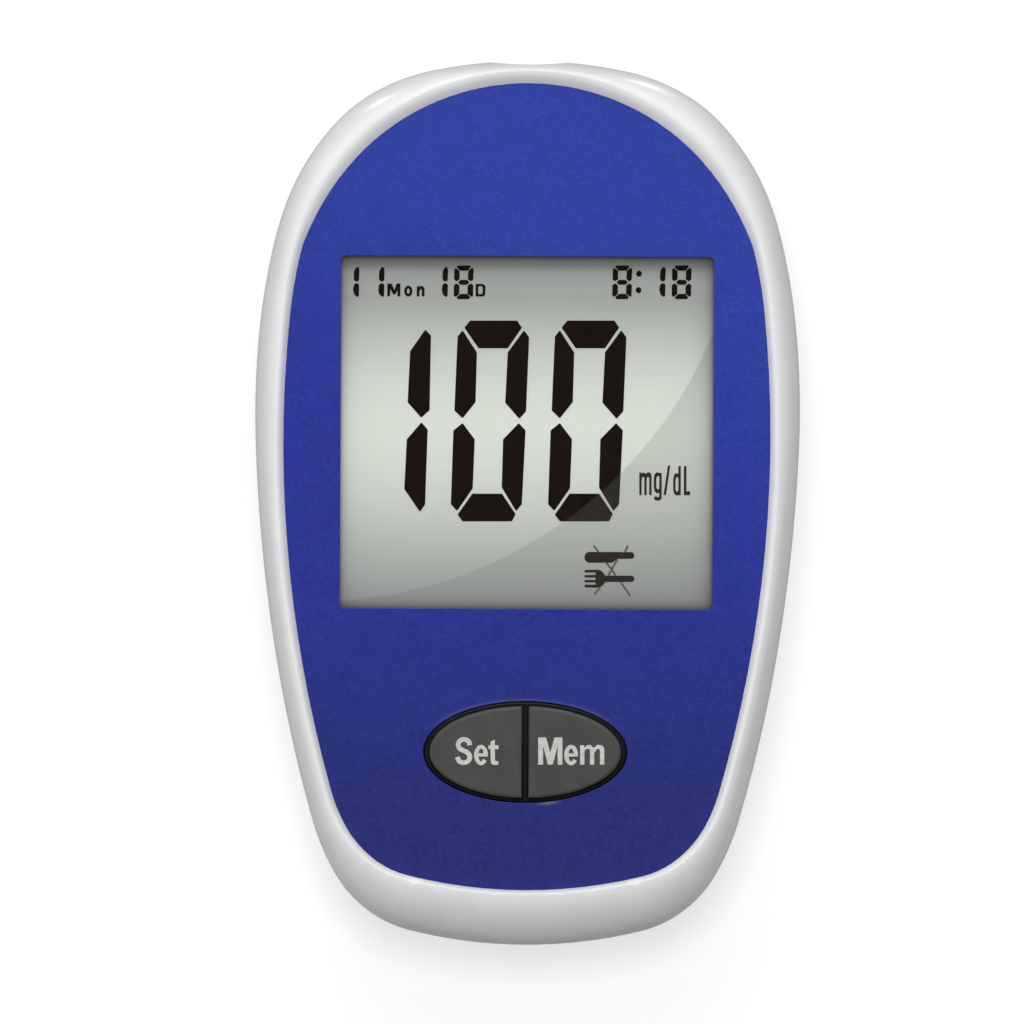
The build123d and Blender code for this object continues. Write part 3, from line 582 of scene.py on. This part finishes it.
MEM = [
    [[(1.29, -23.37), (2.07, -23.36), (2.50, -24.87), (2.92, -23.36), (3.70, -23.36), (3.71, -26.07), (3.24, -26.07), (3.23, -24.17), (2.76, -26.07), (2.26, -26.07), (1.78, -24.17), (1.79, -26.08), (1.30, -26.08)]],
    [[(5.26, -25.25), (5.27, -25.02), (5.24, -24.80), (5.17, -24.59), (5.08, -24.41), (4.96, -24.26), (4.83, -24.16), (4.67, -24.10), (4.52, -24.09), (4.37, -24.13), (4.23, -24.23), (4.10, -24.36), (4.00, -24.53), (3.93, -24.73), (3.89, -24.95), (3.89, -25.18), (3.91, -25.40), (3.98, -25.61), (4.07, -25.79), (4.18, -25.94), (4.32, -26.05), (4.47, -26.11), (4.63, -26.12), (4.78, -26.08), (4.92, -25.99), (5.04, -25.86), (5.15, -25.68), (4.79, -25.49), (4.75, -25.59), (4.70, -25.67), (4.64, -25.72), (4.58, -25.74), (4.52, -25.72), (4.47, -25.68), (4.42, -25.60), (4.37, -25.51), (4.34, -25.39), (4.32, -25.26), (5.23, -25.25)], [(4.83, -24.93), (4.81, -24.81), (4.78, -24.70), (4.73, -24.60), (4.68, -24.53), (4.63, -24.49), (4.57, -24.47), (4.52, -24.49), (4.46, -24.53), (4.41, -24.60), (4.37, -24.70), (4.34, -24.81), (4.32, -24.94)]],
    [[(5.48, -26.06), (5.47, -24.13), (5.86, -24.13), (5.87, -24.37), (5.97, -24.31), (6.07, -24.19), (6.20, -24.11), (6.34, -24.08), (6.49, -24.10), (6.62, -24.17), (6.75, -24.39), (6.98, -24.26), (7.08, -24.16), (7.21, -24.10), (7.34, -24.07), (7.48, -24.09), (7.61, -24.13), (7.72, -24.21), (7.81, -24.32), (7.86, -24.44), (7.88, -24.58), (7.89, -26.04), (7.46, -26.05), (7.45, -24.77), (7.43, -24.61), (7.37, -24.52), (7.29, -24.48), (7.20, -24.48), (7.11, -24.53), (7.05, -24.61), (7.03, -24.71), (6.88, -24.85), (6.88, -26.05), (6.46, -26.05), (6.46, -24.78), (6.44, -24.61), (6.38, -24.53), (6.31, -24.49), (6.22, -24.48), (6.13, -24.50), (6.04, -24.54), (5.96, -24.62), (5.92, -24.73), (5.90, -24.86), (5.91, -26.05)]],
]
WORDS = [
    [[(-14.02, 21.78), (-13.59, 21.78), (-13.32, 21.11), (-13.10, 21.79), (-12.72, 21.79), (-12.73, 20.52), (-13.00, 20.52), (-13.02, 21.19), (-13.19, 20.73), (-13.43, 20.73), (-13.73, 21.27), (-13.75, 20.52), (-14.01, 20.52)]],
    [[(-11.53, 21.05), (-11.54, 21.19), (-11.58, 21.32), (-11.65, 21.43), (-11.73, 21.51), (-11.83, 21.57), (-11.93, 21.58), (-12.03, 21.56), (-12.13, 21.51), (-12.21, 21.42), (-12.28, 21.31), (-12.31, 21.18), (-12.33, 21.04), (-12.31, 20.90), (-12.27, 20.77), (-12.21, 20.66), (-12.12, 20.58), (-12.03, 20.52), (-11.93, 20.51), (-11.82, 20.52), (-11.73, 20.58), (-11.64, 20.66), (-11.58, 20.78), (-11.54, 20.91)], [(-11.78, 21.05), (-11.78, 21.11), (-11.80, 21.18), (-11.82, 21.24), (-11.86, 21.28), (-11.89, 21.30), (-11.93, 21.31), (-11.97, 21.30), (-12.00, 21.28), (-12.04, 21.23), (-12.06, 21.18), (-12.07, 21.11), (-12.08, 21.04), (-12.07, 20.97), (-12.06, 20.91), (-12.03, 20.85), (-12.00, 20.81), (-11.97, 20.79), (-11.93, 20.78), (-11.89, 20.79), (-11.85, 20.81), (-11.82, 20.86), (-11.80, 20.91), (-11.78, 20.98)]],
    [[(-11.09, 20.53), (-11.07, 21.52), (-10.83, 21.52), (-10.80, 21.44), (-10.72, 21.53), (-10.64, 21.56), (-10.56, 21.55), (-10.48, 21.52), (-10.42, 21.47), (-10.36, 21.39), (-10.33, 21.30), (-10.32, 21.20), (-10.32, 20.53), (-10.57, 20.53), (-10.58, 21.10), (-10.64, 21.26), (-10.73, 21.24), (-10.81, 21.12), (-10.83, 20.53)]],
    [[(-5.21, 21.79), (-4.48, 21.79), (-4.25, 21.61), (-4.25, 20.77), (-4.43, 20.55), (-5.20, 20.55)], [(-4.95, 21.57), (-4.59, 21.57), (-4.51, 21.47), (-4.51, 20.89), (-4.59, 20.77), (-4.95, 20.77)]],
    [[(11.22, 0.83), (11.21, 3.06), (11.43, 3.07), (11.46, 2.97), (11.63, 3.09), (11.83, 2.95), (12.10, 3.11), (12.33, 3.01), (12.42, 2.77), (12.43, 0.84), (12.21, 0.84), (12.20, 2.49), (12.13, 2.66), (12.03, 2.64), (11.93, 2.47), (11.94, 0.83), (11.72, 0.83), (11.71, 2.49), (11.64, 2.66), (11.54, 2.64), (11.44, 2.47), (11.44, 0.83)]],
    [[(13.43, 3.04), (13.44, 0.58), (13.32, 0.35), (13.06, 0.28), (12.80, 0.32), (12.70, 0.46), (12.71, 0.68), (12.92, 0.68), (13.14, 0.60), (13.22, 0.75), (13.22, 1.04), (12.94, 1.02), (12.74, 1.24), (12.67, 1.64), (12.66, 2.51), (12.74, 2.91), (12.95, 3.11), (13.20, 3.04)], [(13.21, 2.58), (13.15, 2.74), (13.01, 2.73), (12.91, 2.54), (12.89, 2.24), (12.91, 1.64), (12.98, 1.42), (13.12, 1.38), (13.21, 1.54)]],
    [[(13.64, 0.85), (14.06, 3.78), (14.28, 3.78), (13.87, 0.85)]],
    [[(15.10, 3.72), (15.33, 3.73), (15.34, 0.85), (15.16, 0.83), (14.89, 0.81), (14.69, 0.97), (14.59, 1.35), (14.59, 2.44), (14.66, 2.82), (14.84, 3.02), (15.10, 2.97)], [(15.11, 2.49), (15.02, 2.65), (14.91, 2.63), (14.84, 2.45), (14.81, 2.05), (14.82, 1.39), (14.89, 1.19), (15.01, 1.17), (15.11, 1.33)]],
    [[(15.65, 3.73), (15.89, 3.73), (15.90, 1.22), (16.27, 1.22), (16.27, 0.85), (15.66, 0.84)]],
]
MEAL = [
    [[(6.29, -4.87), (6.13, -4.89), (5.98, -4.97), (5.87, -5.09), (5.80, -5.24), (5.77, -5.41), (5.80, -5.58), (5.87, -5.72), (5.99, -5.84), (6.13, -5.92), (6.29, -5.95), (8.57, -5.93), (9.10, -5.55), (10.46, -5.53), (10.57, -5.51), (10.66, -5.43), (10.73, -5.32), (10.75, -5.19), (10.72, -5.06), (10.66, -4.95), (10.57, -4.88), (10.46, -4.86)]],
    [[(6.96, -6.64), (7.29, -6.66), (7.62, -6.88), (7.88, -7.23), (10.47, -7.22), (10.58, -7.24), (10.68, -7.31), (10.75, -7.41), (10.77, -7.53), (10.75, -7.64), (10.68, -7.75), (10.59, -7.81), (10.47, -7.84), (7.88, -7.85), (7.63, -8.20), (7.30, -8.42), (6.96, -8.43), (5.81, -8.40), (5.81, -8.13), (6.90, -8.12), (6.90, -7.90), (5.81, -7.90), (5.80, -7.67), (6.90, -7.65), (6.90, -7.42), (5.80, -7.41), (5.80, -7.18), (6.90, -7.16), (6.90, -6.92), (5.80, -6.93), (5.80, -6.67)]],
]
CROSS = [
    [[(6.59, -4.28), (7.09, -4.93), (7.25, -4.81), (6.75, -4.16)]],
    [[(7.89, -6.02), (8.44, -6.68), (8.79, -7.27), (8.96, -7.17), (8.60, -6.56), (8.05, -5.89)]],
    [[(9.31, -7.91), (10.28, -9.26), (10.44, -9.15), (9.48, -7.79)]],
    [[(10.01, -4.16), (9.72, -4.80), (9.90, -4.88), (10.20, -4.24)]],
    [[(8.98, -5.55), (8.40, -6.53), (8.58, -6.63), (9.15, -5.65)]],
    [[(8.33, -6.68), (8.08, -7.18), (8.25, -7.27), (8.51, -6.77)]],
    [[(7.29, -8.37), (6.70, -9.02), (6.84, -9.15), (7.44, -8.51)]],
]
READING = [
    [[(-10.22, 17.22), (-9.64, 16.62), (-9.74, 9.20), (-10.57, 8.42), (-11.94, 9.95), (-11.71, 15.06)]],
    [[(-10.55, 7.97), (-9.92, 7.24), (-10.14, -0.24), (-10.66, -0.97), (-12.23, 1.31), (-12.00, 6.27)]],
    [[(-5.75, 18.14), (-1.05, 18.16), (-0.58, 17.46), (-1.98, 15.39), (-4.90, 15.38), (-6.32, 17.43)]],
    [[(-6.50, 17.17), (-5.05, 14.96), (-5.16, 10.01), (-6.45, 8.38), (-7.27, 9.16), (-6.99, 16.52)]],
    [[(-0.37, 17.20), (0.15, 16.50), (-0.12, 9.12), (-0.79, 8.36), (-2.21, 9.97), (-1.98, 14.98)]],
    [[(-6.45, 7.91), (-5.22, 6.30), (-5.40, 1.40), (-6.95, -0.85), (-7.58, -0.18), (-7.36, 7.18)]],
    [[(-0.84, 7.94), (-0.16, 7.22), (-0.49, -0.14), (-1.06, -0.85), (-2.51, 1.52), (-2.40, 6.32)]],
    [[(-5.45, 0.88), (-2.48, 0.89), (-1.11, -1.13), (-1.47, -1.86), (-6.40, -1.89), (-6.90, -1.22)]],
]
EIGHT = [
    [[(8.81, 23.67), (9.99, 23.68), (10.07, 23.60), (9.81, 23.23), (9.03, 23.23), (8.73, 23.55)]],
    [[(8.57, 23.43), (8.96, 23.14), (8.95, 22.34), (8.70, 22.17), (8.48, 22.32), (8.49, 23.29)]],
    [[(10.23, 23.46), (10.36, 23.32), (10.32, 22.32), (10.12, 22.17), (9.85, 22.34), (9.87, 23.14)]],
    [[(8.88, 22.03), (9.10, 22.24), (9.74, 22.24), (9.92, 22.03), (9.72, 21.82), (9.08, 21.82)]],
    [[(8.68, 21.88), (8.94, 21.72), (8.93, 20.88), (8.60, 20.60), (8.45, 20.72), (8.46, 21.72)]],
    [[(10.14, 21.89), (10.33, 21.73), (10.30, 20.69), (10.20, 20.61), (9.81, 20.93), (9.84, 21.70)]],
    [[(9.09, 20.84), (9.76, 20.85), (10.03, 20.53), (9.91, 20.39), (8.85, 20.38), (8.75, 20.52)]],
]
SMALL_ONE = [
    [[(-8.24, 23.43), (-8.05, 23.39), (-8.00, 22.97), (-8.04, 22.19), (-8.15, 22.05), (-8.43, 22.11), (-8.50, 22.41), (-8.47, 23.05)]],
    [[(-8.39, 21.79), (-8.11, 21.81), (-8.02, 21.63), (-8.04, 20.62), (-8.14, 20.50), (-8.45, 20.75), (-8.56, 21.17), (-8.51, 21.59)]],
]


def dot(x, y, r):
    return [[(x + r * math.cos(a * math.tau / 20), y + r * 1.08 * math.sin(a * math.tau / 20)) for a in range(20)]]


TURN = math.radians(0.30)       # the display is set this much off the case's axis


def along(shapes, d):
    """The shapes, d millimetres further along the display's rows."""
    return moved(shapes, d * math.cos(TURN), d * math.sin(TURN))


Z_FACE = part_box("lcd_front_polarizer")[1].z / MM
INK_Z = (Z_FACE, Z_FACE + 0.03)
slab("display_reading", READING + along(READING[2:], 9.70), *INK_Z, M["ink"], "body", "reflector", 0.10)
clock = EIGHT + along(EIGHT, 5.923) + along(EIGHT, -15.81)
for d in (0.0, -8.845, -6.335, 21.695):
    clock += along(SMALL_ONE, d)
clock += [dot(11.07, 22.90, 0.25), dot(11.03, 21.26, 0.25)]
slab("display_clock", clock, *INK_Z, M["ink"], "body", "reflector", 0.08, 0.035)
slab("display_words", WORDS, *INK_Z, M["ink"], "body", "reflector", 0.03, 0.008)
slab("display_meal_mark", MEAL, *INK_Z, M["ink"], "body", "reflector", 0.04)
slab("display_meal_cross", CROSS, *INK_Z, M["ink_thin"], "body", "reflector")

# Key legends, printed on the caps
z_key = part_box("set_key")[1].z / MM
slab("set_key_legend", SET, z_key - 0.005, z_key + 0.02, M["paint"], "set_key", "key_grey", 0.04)
slab("memory_key_legend", MEM, z_key - 0.005, z_key + 0.02, M["paint"], "memory_key", "key_grey", 0.04)


# ---------------------------------------------------------------------------
# Key skirts: thin silicone cones between the web and each key's post
# ---------------------------------------------------------------------------
WEB_Z, POST_Z, WEB_R, POST_R, POST_X, TRAVEL = 9.3, 10.9, 3.6, 2.3, 4.3, 0.7


def skirt(node, cx):
    steps, round_ = 12, 72
    outer = [(WEB_R + (POST_R - WEB_R) * t / steps, 9.6 + (POST_Z - 9.6) * t / steps) for t in range(steps + 1)]
    inner = [(POST_R + (WEB_R - POST_R) * t / steps, 10.55 + (WEB_Z - 10.55) * t / steps) for t in range(steps + 1)]
    loop = outer + inner
    verts = [((cx + r * math.cos(2 * math.pi * k / round_)) * MM, KEY_HOLE[0] + r * math.sin(2 * math.pi * k / round_) * MM, z * MM)
             for k in range(round_) for r, z in loop]
    m = len(loop)
    faces = [(k * m + i, ((k + 1) % round_) * m + i, ((k + 1) % round_) * m + (i + 1) % m, k * m + (i + 1) % m)
             for k in range(round_) for i in range(m)]
    me = bpy.data.meshes.new(node + "_fold")
    me.from_pydata(verts, [], faces)
    me.validate()
    me.shade_smooth()
    me.set_sharp_from_angle(angle=math.radians(40))
    o = bpy.data.objects.new(node + "_fold", me)
    bpy.context.scene.collection.objects.link(o)
    me.materials.append(M["silicone"])
    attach(o, "body")
    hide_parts(node)
    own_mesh(o)


skirt("set_key_skirt", -POST_X)
skirt("memory_key_skirt", POST_X)


# ---------------------------------------------------------------------------
# Floor, light, camera
# ---------------------------------------------------------------------------
me = bpy.data.meshes.new("floor")
me.from_pydata([(-12, -12, 0), (12, -12, 0), (12, 12, 0), (-12, 12, 0)], [], [(0, 1, 2, 3)])
floor = bpy.data.objects.new("floor", me)
bpy.context.scene.collection.objects.link(floor)
g = Graph("floor_pale")
diff = g.node("ShaderNodeBsdfDiffuse")
diff.inputs["Color"].default_value = (0.38, 0.38, 0.38, 1)
clear = g.node("ShaderNodeBsdfTransparent")
glow = g.node("ShaderNodeEmission")
glow.inputs["Color"].default_value = (1, 1, 1, 1)
glow.inputs["Strength"].default_value = 0.68
lit = g.node("ShaderNodeAddShader")
g.link(diff.outputs[0], lit.inputs[0])
g.link(glow.outputs[0], lit.inputs[1])
geo = g.node("ShaderNodeNewGeometry")
m = g.node("ShaderNodeMixShader")
g.link(geo.outputs["Backfacing"], m.inputs[0])
g.link(lit.outputs[0], m.inputs[1])
g.link(clear.outputs[0], m.inputs[2])
g.link(m.outputs[0], g.out.inputs["Surface"])
me.materials.append(g.mat)
floor.visible_diffuse = False
floor.visible_glossy = False
floor.visible_shadow = False

class Sky(Graph):
    """The world's node tree, with the same short calls."""

    def __init__(self, world):
        world.use_nodes = True
        self.nt = world.node_tree
        self.nt.nodes.clear()
        self.out = self.nt.nodes.new("ShaderNodeOutputWorld")


def cosd(deg):
    return math.cos(math.radians(deg))


# A white tent with a dark patch straight overhead: its cap, the light from below, and for each side where it
# stands, how bright its wall is and how bright the table in front of it
CAP, BELOW = 0.02, 0.40
SIDES = [((0.0, 1.0), 1.28, 0.35), ((0.0, -1.0), 0.0, 0.0), ((-0.96, -0.27), 0.64, 0.80), ((0.96, -0.27), 0.34, 0.74)]
world = bpy.data.worlds.new("studio")
bpy.context.scene.world = world
g = Sky(world)
wx, wy, wz = g.xyz(g.node("ShaderNodeTexCoord").outputs["Generated"])
cap = g.math("MULTIPLY", g.remap(wz, cosd(62), cosd(38), 0.0, 1.0, smooth=True),
             g.remap(wz, cosd(25), cosd(14), 1.0, 0.15, smooth=True))
band = g.math("MULTIPLY", g.remap(wz, 0.0, 0.12, 0.0, 1.0, smooth=True),
              g.remap(wz, cosd(62), cosd(38), 1.0, 0.0, smooth=True))
low = g.remap(wz, 0.0, 0.12, 1.0, 0.0, smooth=True)
under = g.remap(wz, -cosd(55), -cosd(35), 0.0, 1.0, smooth=True)
level = g.math("ADD", g.math("MULTIPLY", cap, CAP), g.math("MULTIPLY", under, BELOW))
for (ax, ay), wall, table in SIDES:
    lobe = g.math("MAXIMUM", g.math("ADD", g.math("MULTIPLY", wx, ax), g.math("MULTIPLY", wy, ay)), 0.0)
    lobe = g.math("MULTIPLY", lobe, lobe)
    both = g.math("ADD", g.math("MULTIPLY", band, wall), g.math("MULTIPLY", low, table))
    level = g.math("ADD", level, g.math("MULTIPLY", lobe, both))
sky = g.node("ShaderNodeCombineColor")
for i in range(3):
    g.put(sky.inputs[i], level)
bg = g.node("ShaderNodeBackground")
g.put(bg.inputs["Color"], g.mix(g.node("ShaderNodeLightPath").outputs["Is Camera Ray"], sky.outputs[0], (0.80, 0.81, 0.82)))
bg.inputs["Strength"].default_value = 1.0
g.link(bg.outputs[0], g.out.inputs["Surface"])


def area(name, pos, target, size, power, size_y=None, glossy=True):
    d = bpy.data.lights.new(name, "AREA")
    d.shape = "RECTANGLE" if size_y else "DISK"
    d.size = size
    if size_y:
        d.size_y = size_y
    d.energy = power
    o = bpy.data.objects.new(name, d)
    o.location = pos
    o.rotation_mode = "QUATERNION"
    o.rotation_quaternion = (Vector(target) - Vector(pos)).to_track_quat("-Z", "Y")
    bpy.context.scene.collection.objects.link(o)
    o.visible_camera = False
    o.visible_glossy = glossy
    return o


area("key", (-0.045, 0.37, 0.42), (0, 0, 0.01), 0.34, 1.00)
area("overhead", (0.0, 0.06, 0.55), (0, 0, 0.01), 0.20, 1.88, glossy=False)


def glint(name, at, towards, size, power):
    """A small lamp that only the gloss shows, seen mirrored at one point of the case, in millimetres."""
    d = Vector(towards).normalized()
    area(name, Vector(at) * MM + d * 0.40, Vector(at) * MM, size, power).visible_diffuse = False


glint("glint_left", (-14.6, 39.9, 16.9), (-0.50, 0.78, -0.36), 0.04, 0.085)
glint("glint_right", (11.7, 41.7, 16.5), (0.30, 0.75, -0.60), 0.04, 0.075)

scene = bpy.context.scene
scene.view_settings.view_transform = "Standard"
scene.view_settings.look = "None"

# Camera: square frame, 102.4 mm across at the parting plane, seen from almost straight above with a long lens
LENS, SENSOR = 800.0, 36.0
aim = Vector((-1.56 * MM, -0.93 * MM, 8.8 * MM))
dist = LENS / SENSOR * 0.1024
yaw, tilt, roll = math.radians(0.8), math.radians(0.0), math.radians(0.30)
back = Vector((math.sin(yaw), -math.sin(tilt), math.cos(yaw))).normalized()
up = Vector((-math.sin(roll), math.cos(roll), 0.0))
right = up.cross(back).normalized()
up = back.cross(right).normalized()
cam_data = bpy.data.cameras.new("camera")
cam_data.lens, cam_data.sensor_width, cam_data.sensor_fit = LENS, SENSOR, "HORIZONTAL"
cam_data.clip_start, cam_data.clip_end = 0.05, 20.0
cam = bpy.data.objects.new("camera", cam_data)
scene.collection.objects.link(cam)
cam.matrix_world = Matrix.Translation(aim + back * dist) @ Matrix((right, up, back)).transposed().to_4x4()
scene.camera = cam
